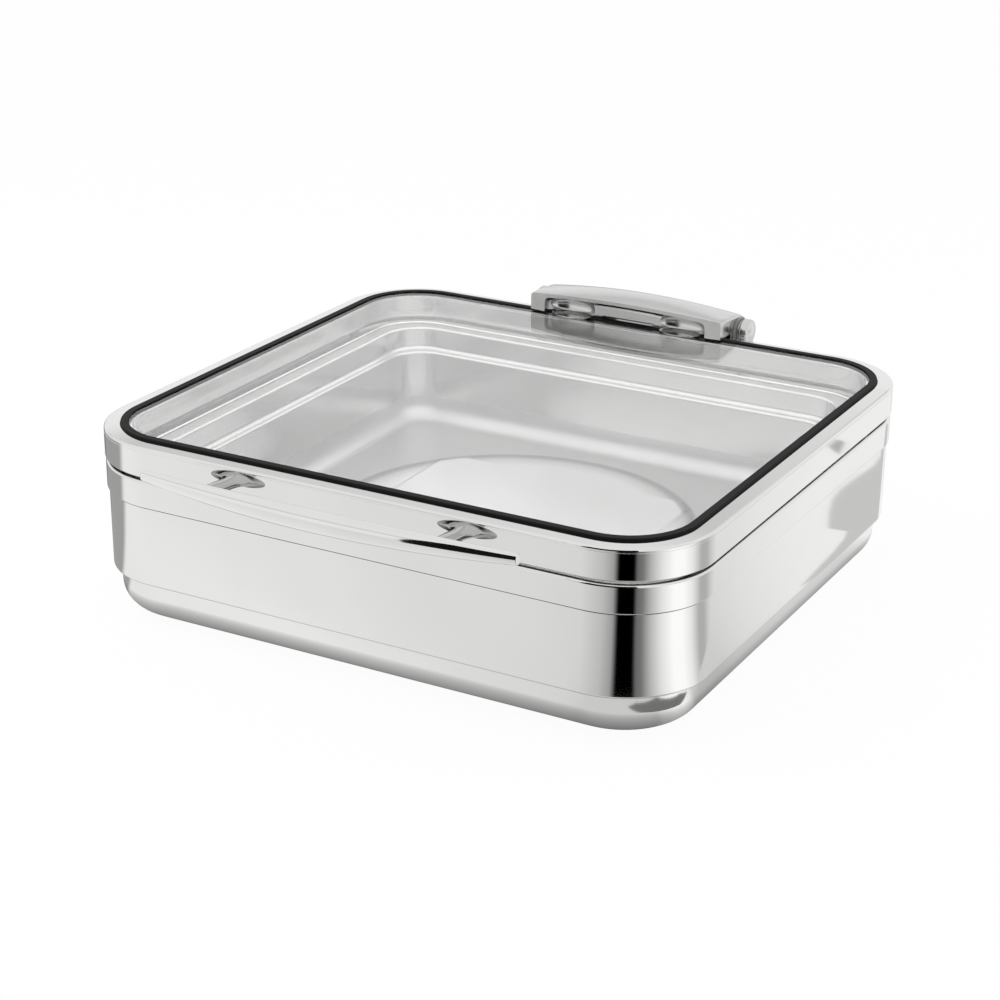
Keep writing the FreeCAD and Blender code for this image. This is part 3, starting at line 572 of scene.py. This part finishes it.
class DISH_OT_body(bpy.types.Operator):
    """Outer pan, rim frame and heating base"""
    bl_idname = "dish.body"
    bl_label = "Body"

    def execute(self, context):
        looks = finishes()
        form = context.scene.dish_shape
        edge = form.sheet_edge / MM
        bowl = form.bowl_radius / MM
        depth = form.groove_depth / MM
        low, top = PAN_LOW.z / MM, PAN_HIGH.z / MM
        groove = RIM_LOW.z / MM - form.groove_height / MM
        sheet, inward, step, end = 1, 5, 31.5, -45
        wall = [
            (end, low, 1), (-inward, low, bowl), (-inward, step, 0.8), (0, step, 1.5),
            (0, groove, 0.15), (-depth, groove + 0.1, 0.03), (-depth, top, 0.06), (-sheet, top, edge),
            (-sheet, step + sheet, 0.5), (-inward - sheet, step + sheet, 1.8),
            (-inward - sheet, low + sheet, bowl - sheet), (end, low + sheet, 1),
        ]
        swept("outer_pan_shell", "dish", "water_pan", looks, wall)
        low, top = RIM_LOW.z / MM, RIM_HIGH.z / MM
        band = from_wall(RIM_HIGH.x)
        sheet, inner, seat, lip, drop = 1.2, 0.1, -20.8, -30.4, 6
        shelf = top - 3.1
        rim = [
            (inner, low, 0.1), (band, low, 0.95), (band, top, 1.8), (seat, top, 0.9),
            (seat, shelf, 0.35), (lip, shelf, 0.9), (lip, shelf - drop, edge),
            (lip + sheet, shelf - drop, edge), (lip + sheet, shelf - sheet, 0.3),
            (seat + sheet, shelf - sheet, 1.0), (seat + sheet, top - sheet, 0.3),
            (inner, top - sheet, 0.6),
        ]
        swept("rim_surface", "dish", "rim_frame", looks, rim, closed=True)
        side = from_wall(CAP_HIGH.x)
        sheet, flange, wide = 1, 4, 8
        cap = [
            (side - wide, 0, 1), (side, 0, 0.9), (side, flange, edge), (side - sheet, flange, edge),
            (side - sheet, sheet, 0.3), (side - wide, sheet, 1),
        ]
        swept("base_cap_surface", "dish", "base_cap", looks, cap)
        return {"FINISHED"}


class DISH_OT_food_pan(bpy.types.Operator):
    """Food pan with its flange, stacking shoulder and raised round floor"""
    bl_idname = "dish.food_pan"
    bl_label = "Food pan"

    def execute(self, context):
        looks = finishes()
        form = context.scene.dish_shape
        flange = from_wall(FOOD_HIGH.x)
        low, top = FOOD_LOW.z / MM, FOOD_HIGH.z / MM
        sheet, drop, run = 0.9, 3, 16
        wall = flange - 10.5
        shoulder = top - 16
        step = wall - 5
        foot = step - 3
        floor = low + sheet
        profile = [
            (foot - run, low, 1), (foot + sheet, low, 12.9), (step + sheet, shoulder - sheet, 1.0),
            (wall + sheet, shoulder - sheet, 3.9), (wall + sheet, top - sheet, 0.9),
            (flange - sheet, top - sheet, 0.5), (flange - sheet, top - drop, 0.3),
            (flange, top - drop, 0.3), (flange, top, 1.4), (wall, top, 1.6), (wall, shoulder, 3.0),
            (step, shoulder, 1.8), (foot, floor, 12), (foot - run, floor, 1),
        ]
        points, normals = folded(profile, False)
        inset = WALL_X - FOOD_HIGH.x
        points[:, 0] += inset
        rings, turned = carried(points, normals, 0.5, inset, 31 * MM)
        # The floor inside and outside runs from the wall's foot to the round boss: each row is the last
        # row moved towards a circle of radius r in the same directions, at the boss's height there.
        edge_row = rings[-1, :, :2]
        around = np.arctan2(edge_row[:, 1], edge_row[:, 0])
        circle = np.stack([np.cos(around), np.sin(around)], 1)
        width = 5 * MM
        share = np.linspace(0, 1, 13)
        r = form.boss_radius + width / 2 - share * width
        rise = form.boss_height * (share * share * (3 - 2 * share))
        slope = form.boss_height * 6 * share * (1 - share) / width
        rows = circle[None] * r[:, None, None]
        for sign, level in ((1.0, floor), (-1.0, low)):
            height = np.broadcast_to((level * MM + rise)[:, None, None], rows.shape[:2] + (1,))
            boss = np.concatenate([rows, height], 2)
            lean = sign * np.concatenate([circle * slope[:, None, None], np.ones(height.shape)], 2)
            rings = np.concatenate([rings, boss] if sign > 0 else [boss[::-1], rings])
            turned = np.concatenate([turned, unit(lean)] if sign > 0 else [unit(lean)[::-1], turned])
        piece("food_pan_surface", rings, turned, "dish", "food_pan", looks)
        return {"FINISHED"}


class DISH_OT_lid(bpy.types.Operator):
    """Lid frame, inner ring, seal and glass"""
    bl_idname = "dish.lid"
    bl_label = "Lid"

    def execute(self, context):
        looks = finishes()
        form = context.scene.dish_shape
        edge = form.sheet_edge / MM
        crease = form.crease_width / MM
        depth = form.crease_depth / MM
        out, seal_out = from_wall(LID_HIGH.x), from_wall(GASKET_HIGH.x)
        low, top, ledge = LID_LOW.z / MM, LID_HIGH.z / MM, GASKET_LOW.z / MM
        sheet, hem, hem_height, ledge_width = 1.2, 2.6, 3, 7
        inner = seal_out + 0.1
        fold = top - 2.9
        skirt = [
            (out - hem, low, 1.2), (out, low, 1.2), (out, fold, 0.1), (out - depth, fold, 0.08),
            (out - depth, fold + crease, 0.08), (out - 0.05, fold + crease, 0.06),
            (out - 0.05, top - 0.58, 1.5), (inner, top, 0.35), (inner, ledge, 0.3),
            (inner - ledge_width, ledge, edge), (inner - ledge_width, ledge - sheet, edge),
            (inner + sheet, ledge - sheet, 0.4), (inner + sheet, top - sheet, 0.3),
            (out - sheet, top - sheet - 0.55, 0.6), (out - sheet, low + hem_height, 0.4),
            (out - hem, low + hem_height, 0.4),
        ]
        swept("lid_frame_surface", "lid", "lid_frame", looks, skirt, closed=True)
        foot, high = RING_LOW.z / MM, RING_HIGH.z / MM
        sheet, outer = 1, from_wall(RING_HIGH.x)
        inner = outer - 8
        channel = [
            (inner, foot, 0.9), (outer, foot, edge), (outer, foot + sheet, edge),
            (inner + sheet, foot + sheet, 0.4), (inner + sheet, high - sheet, 0.4),
            (outer - 1, high - sheet, edge), (outer - 1, high, edge), (inner, high, 0.9),
        ]
        swept("inner_ring_surface", "lid", "lid_inner_ring", looks, channel, closed=True)
        rise = GASKET_HIGH.z / MM
        wall, web, inner = 0.8, seal_out - 2, seal_out - 5
        seal = [
            (inner, ledge, 0.2), (seal_out, ledge, 0.3), (seal_out, rise, 0.75), (inner, rise, 0.35),
            (inner, rise - wall, 0.15), (web, rise - wall, 0.2), (web, ledge + wall, 0.2),
            (inner, ledge + wall, 0.15),
        ]
        swept("seal_surface", "lid", "glass_gasket", looks, seal, closed=True)
        side = from_wall(GLASS_HIGH.x)
        low, high = GLASS_LOW.z / MM, GLASS_HIGH.z / MM
        pane = [(side - 9, low, 1), (side, low, 0.8), (side, high, 0.8), (side - 9, high, 1)]
        glass = swept("glass_surface", "lid", "glass_pane", looks, pane)
        glass.visible_shadow = False
        glass.visible_diffuse = False
        return {"FINISHED"}


class DISH_OT_handle(bpy.types.Operator):
    """Handle bar and its two posts"""
    bl_idname = "dish.handle"
    bl_label = "Handle"

    def execute(self, context):
        """The bar's height swells from its ends by 1 - t^2, where t runs from -1 to 1 along it, and its
        middle line bows back by t^2. Each end closes with a quarter round bevel."""
        looks = finishes()
        half = BAR_HIGH.x
        z = (BAR_HIGH.z + BAR_LOW.z) / 2
        mid_height = (BAR_HIGH.z - BAR_LOW.z) / 2
        end_height, bow, bevel, depth_share = 3.4 * MM, 9.6 * MM, 0.5 * MM, 0.78
        mid_y = BAR_LOW.y + mid_height * depth_share
        t = np.linspace(-1, 1, 81)
        turn = np.linspace(0, math.pi / 2, 6)[1:]
        end_x = half - bevel + bevel * np.sin(turn)
        end = end_height - bevel * (1 - np.cos(turn))
        x = np.concatenate([-end_x[::-1], t * (half - bevel), end_x])
        height = np.concatenate([end[::-1], end_height + (mid_height - end_height) * (1 - t * t), end])
        y = mid_y + bow * np.pad(t * t, len(turn), constant_values=1.0)
        angle = np.linspace(0, 2 * math.pi, 64, endpoint=False)
        rings = np.stack([
            np.broadcast_to(x[:, None], (len(x), len(angle))),
            y[:, None] + height[:, None] * depth_share * np.cos(angle),
            z + height[:, None] * np.sin(angle),
        ], 2)
        turned = measured_normals(rings)
        turned[0] = (-0.82, -0.57, 0)
        turned[-1] = (0.82, -0.57, 0)
        piece("handle_bar_surface", rings, turned, "lid", "handle_bar", looks)
        bar_y = mid_y + bow * (POST_X / half) ** 2
        for side, word in ((-1, "left"), (1, "right")):
            self.post(side * POST_X, word, bar_y, z, looks)
        return {"FINISHED"}

    def post(self, post_x, word, bar_y, bar_z, looks):
        """Post from the skirt to the bar: ellipses whose half width and half height shrink with the
        flare f = (1 - sqrt(1 - l^2))^1.5, where l falls from 1 at the foot to 0 at half way."""
        along = np.linspace(0, 1, 73) ** 1.8
        left = np.clip(1 - along / 0.5, 0, 1)
        flare = (1 - np.sqrt(1 - left * left)) ** 1.5
        wide = (11 + 27 * flare) / 2 * MM
        high = (6.5 + 1.9 * flare) / 2 * MM
        y = LID_LOW.y + (bar_y - LID_LOW.y) * along
        z = POST_FOOT + (bar_z - POST_FOOT) * along * along * (3 - 2 * along)
        turns = np.linspace(0, 2 * math.pi, 56, endpoint=False)
        shape = (len(along), len(turns))
        rings = np.stack([
            post_x + wide[:, None] * np.cos(turns),
            np.broadcast_to(y[:, None], shape),
            z[:, None] + high[:, None] * np.sin(turns),
        ], 2)
        across = np.stack([
            np.cos(turns) / wide[:, None], np.zeros(shape), np.sin(turns) / high[:, None]], 2)
        slopes = unit(np.gradient(rings, along, axis=0))
        turned = unit(across - np.sum(across * slopes, axis=2, keepdims=True) * slopes)
        piece("handle_post_surface_" + word, rings, turned, "lid", "handle_post_" + word, looks)


class DISH_OT_hinge(bpy.types.Operator):
    """Hinge cover, bracket, caps and the small parts"""
    bl_idname = "dish.hinge"
    bl_label = "Hinge"

    def execute(self, context):
        looks = finishes()
        for name, body, node in SMOOTH_COPIES:
            smooth_copy(name, body, node, looks)
        return {"FINISHED"}


class DISH_OT_finish(bpy.types.Operator):
    """Finishes on the nodes that are shown as they are"""
    bl_idname = "dish.finish"
    bl_label = "Finishes"

    def execute(self, context):
        looks = finishes()
        for node, obj in NODES.items():
            obj.data.materials.clear()
            obj.data.materials.append(looks[SLOTS[node]])
        return {"FINISHED"}


class DISH_OT_stage(bpy.types.Operator):
    """Floor, room light, lamps and camera"""
    bl_idname = "dish.stage"
    bl_label = "Stage"

    def execute(self, context):
        studio = context.scene.dish_studio
        context.scene.view_settings.view_transform = "Standard"
        self.floor(studio)
        self.card()
        for name, tone, points in PAINTED_REFLECTION_CARDS:
            self.painted_reflection_card(name, tone, points)
        self.room(context, studio)
        self.lamp("key_lamp", (-0.7, -0.5, 1.3), 1.0, studio.key_power)
        self.lamp("fill_lamp", (1.0, 0.4, 1.2), 1.2, studio.fill_power)
        self.camera(context)
        return {"FINISHED"}

    def azimuth_tone(self, tree, place, centre, stops):
        """Tone by azimuth about a centre, in degrees from the front towards the right."""
        shift = put(tree, "VectorMath", "SUBTRACT", place, centre)
        split = put(tree, "SeparateXYZ", None, shift).outputs
        front = put(tree, "Math", "MULTIPLY", split["Y"], -1.0)
        angle = put(tree, "Math", "ARCTAN2", split["X"], front)
        share = put(tree, "MapRange", "LINEAR", Value=angle, From_Min=-math.pi, From_Max=math.pi)
        ramp = put(tree, "ValToRGB", Fac=share)
        set_stops(ramp, [((degrees + 180) / 360, value) for degrees, value in stops])
        return ramp

    def tone(self, name):
        """Node group: painted reflection tone of the studio by azimuth about the dish's near and left
        corners. Close to the dish nothing is black, and right under it painted shade makes all darker,
        by the distance from its rounded base, |p| - (half - corner)."""
        group, inlet, outlet = new_group(name, {"Place": (0, 0, 0)}, ["Tone"])
        place = inlet["Place"]
        x, y = WALL_X - WALL_CORNER, WALL_Y - WALL_CORNER
        near = put(group, "Math", "MULTIPLY", self.azimuth_tone(group, place, (x, -y, 0), FLOOR_TONES),
                   FLOOR_GAIN)
        left = self.azimuth_tone(group, place, (-x, -y, 0), LEFT_TONES)
        spread = put(group, "VectorMath", "ABSOLUTE", place)
        inset = put(group, "VectorMath", "SUBTRACT", spread, (x, y, 0))
        beyond = put(group, "VectorMath", "MAXIMUM", inset, (0, 0, 0))
        away = put(group, "VectorMath", "LENGTH", beyond)
        # Painted light: close to the dish the tone is lifted so that no reflection there is black
        apron = put(group, "MapRange", "LINEAR", Value=away, From_Min=WALL_CORNER + 57 * MM,
                    From_Max=WALL_CORNER + 61 * MM, To_Min=0.6 * FLOOR_GAIN, To_Max=0.0)
        # Painted shade under the dish, which mirrors see on the floor
        under = put(group, "MapRange", "LINEAR", Value=away, From_Min=WALL_CORNER - 22 * MM,
                    From_Max=WALL_CORNER + 30 * MM, To_Min=0.2, To_Max=1.0)
        even = put(group, "Math", "MAXIMUM", apron, near)
        shaded = put(group, "Math", "MULTIPLY", even, under)
        feed(group, outlet, Tone=put(group, "Math", "MULTIPLY", shaded, left))
        return group

    def floor(self, studio):
        """Large white floor. Mirror rays see it glow with a painted reflection tone and painted shade.
        """
        mesh = bpy.data.meshes.new("floor")
        size = 6.0
        mesh.from_pydata([(-size, -size, 0), (size, -size, 0), (size, size, 0), (-size, size, 0)], [],
                         [(0, 1, 2, 3)])
        obj = bpy.data.objects.new("floor", mesh)
        bpy.context.scene.collection.objects.link(obj)
        material, tree, shader = new_material("floor_paper")
        feed(tree, shader, Base_Color=(*studio.floor_color, 1), Roughness=0.9, Specular_IOR_Level=0.0)
        # Painted reflection: mirror rays see the floor's emission in the studio's painted tone
        tone = put_group(tree, self.tone("painted_floor_reflection"), Place=object_place(tree))
        path = put(tree, "LightPath").outputs
        mirrored = put(tree, "Math", "MINIMUM", path["Glossy Depth"], 1.0)
        strength = put(tree, "Mix", "FLOAT", Factor=mirrored, A=1.0, B=tone)
        glow = put(tree, "Emission", Strength=strength)
        seen = put(tree, "Math", "MAXIMUM", path["Is Camera Ray"], path["Is Transmission Ray"])
        share = put(tree, "Math", "MULTIPLY_ADD", seen, FLOOR_GLOW, mirrored)
        mix = put(tree, "MixShader", None, share, shader, glow)
        feed(tree, tree.nodes["Material Output"], Surface=mix)
        mesh.materials.append(material)

    def card(self):
        """Tall curved black card before the near corner."""
        turn = np.radians(np.linspace(*CARD_TURN, 25))
        ring = np.stack([WALL_X - WALL_CORNER + CARD_RADIUS * np.sin(turn),
                         WALL_CORNER - WALL_Y - CARD_RADIUS * np.cos(turn)], 1)
        low = np.column_stack([ring, np.full(len(ring), 1 * MM)])
        high = np.column_stack([ring, np.full(len(ring), CARD_TOP)])
        count = len(ring)
        faces = [(k, k + 1, count + k + 1, count + k) for k in range(count - 1)]
        self.mirror_card("dark_card", np.concatenate([low, high]).tolist(), faces, "black_paper",
                         Base_Color=(0.01, 0.01, 0.01, 1))

    def painted_reflection_card(self, name, tone, points):
        """Small glowing grey card on the floor that paints a grey reflection in the steel."""
        outline = [(x * MM, y * MM, 0.5 * MM) for x, y in points]
        self.mirror_card(name, outline, [tuple(range(len(points)))], name, Base_Color=(0, 0, 0, 1),
                         Emission_Color=(1, 1, 1, 1), Emission_Strength=tone)

    def mirror_card(self, name, points, faces, paper, **finish):
        """Card that only mirror rays see."""
        mesh = bpy.data.meshes.new(name)
        mesh.from_pydata(points, [], faces)
        material, tree, shader = new_material(paper)
        feed(tree, shader, Specular_IOR_Level=0.0, **finish)
        mesh.materials.append(material)
        obj = bpy.data.objects.new(name, mesh)
        bpy.context.scene.collection.objects.link(obj)
        obj.visible_camera = False
        obj.visible_diffuse = False
        obj.visible_transmission = False
        obj.visible_shadow = False

    def room(self, context, studio):
        """Even room light. The eye sees it white; mirrors and glass see it toned by height."""
        world = bpy.data.worlds.new("room")
        context.scene.world = world
        world.use_nodes = True
        tree = world.node_tree
        ray = put(tree, "TexCoord").outputs["Generated"]
        fall = put(tree, "ValToRGB", Fac=put(tree, "SeparateXYZ", None, ray).outputs["Z"])
        set_stops(fall, SKY_TONES)
        path = put(tree, "LightPath").outputs
        seen = put(tree, "Mix", "FLOAT", Factor=path["Is Glossy Ray"], A=studio.room_light, B=fall)
        raised = put(tree, "Math", "MULTIPLY", fall, GLASS_GAIN)
        through = put(tree, "Mix", "FLOAT", Factor=path["Is Transmission Ray"], A=seen, B=raised)
        direct = put(tree, "Mix", "FLOAT", Factor=path["Is Camera Ray"], A=through, B=1.0)
        feed(tree, tree.nodes["Background"], Color=(1, 1, 1, 1), Strength=direct)

    def lamp(self, name, place, size, power):
        """Square soft lamp that looks at the dish."""
        light = bpy.data.lights.new(name, "AREA")
        light.size = size
        light.energy = power
        obj = bpy.data.objects.new(name, light)
        aim = (Vector((0, 0, 0.07)) - Vector(place)).to_track_quat("-Z", "Y")
        obj.matrix_world = Matrix.LocRotScale(Vector(place), aim, None)
        obj.visible_glossy = False
        obj.visible_transmission = False
        bpy.context.scene.collection.objects.link(obj)

    def camera(self, context):
        """Camera at the photograph's place, angle and field of view."""
        data = bpy.data.cameras.new("photo_camera")
        data.sensor_width = 36
        data.lens = CAMERA_LENS
        data.clip_start = 0.01
        azimuth, pitch, roll = map(math.radians, CAMERA_TURN)
        ahead = Vector((-math.sin(azimuth) * math.cos(pitch), math.cos(azimuth) * math.cos(pitch),
                        -math.sin(pitch)))
        level = Vector((math.cos(azimuth), math.sin(azimuth), 0))
        top = level.cross(ahead)
        right = level * math.cos(roll) + top * math.sin(roll)
        up = top * math.cos(roll) - level * math.sin(roll)
        turn = Matrix((right, up, -ahead)).transposed()
        obj = bpy.data.objects.new("photo_camera", data)
        obj.matrix_world = Matrix.Translation(CAMERA_PLACE) @ turn.to_4x4()
        context.scene.collection.objects.link(obj)
        context.scene.camera = obj


class DISH_PT_panel(bpy.types.Panel):
    """The dish's pieces, sizes and colours"""
    bl_idname = "DISH_PT_panel"
    bl_label = "Chafing dish"
    bl_space_type = "VIEW_3D"
    bl_region_type = "UI"
    bl_category = "Dish"

    def draw(self, context):
        for step in STEPS:
            self.layout.operator(step.bl_idname)
        for group in (context.scene.dish_shape, context.scene.dish_finish, context.scene.dish_studio):
            for name in group.__annotations__:
                self.layout.prop(group, name)


GROUPS = {"dish_shape": DishShape, "dish_finish": DishFinish, "dish_studio": DishStudio}
STEPS = (DISH_OT_stage, DISH_OT_finish, DISH_OT_body, DISH_OT_food_pan, DISH_OT_lid, DISH_OT_handle,
         DISH_OT_hinge)


def register():
    for name, group in GROUPS.items():
        bpy.utils.register_class(group)
        setattr(bpy.types.Scene, name, PointerProperty(type=group))
    for step in STEPS:
        bpy.utils.register_class(step)
    bpy.utils.register_class(DISH_PT_panel)


def unregister():
    bpy.utils.unregister_class(DISH_PT_panel)
    for step in reversed(STEPS):
        bpy.utils.unregister_class(step)
    for name, group in GROUPS.items():
        delattr(bpy.types.Scene, name)
        bpy.utils.unregister_class(group)


def main():
    register()
    for step in STEPS:
        family, _, name = step.bl_idname.partition(".")
        result = getattr(getattr(bpy.ops, family), name)()
        if "FINISHED" not in result:
            raise RuntimeError(step.bl_idname + " did not finish")


if __name__ == "__main__":
    main()
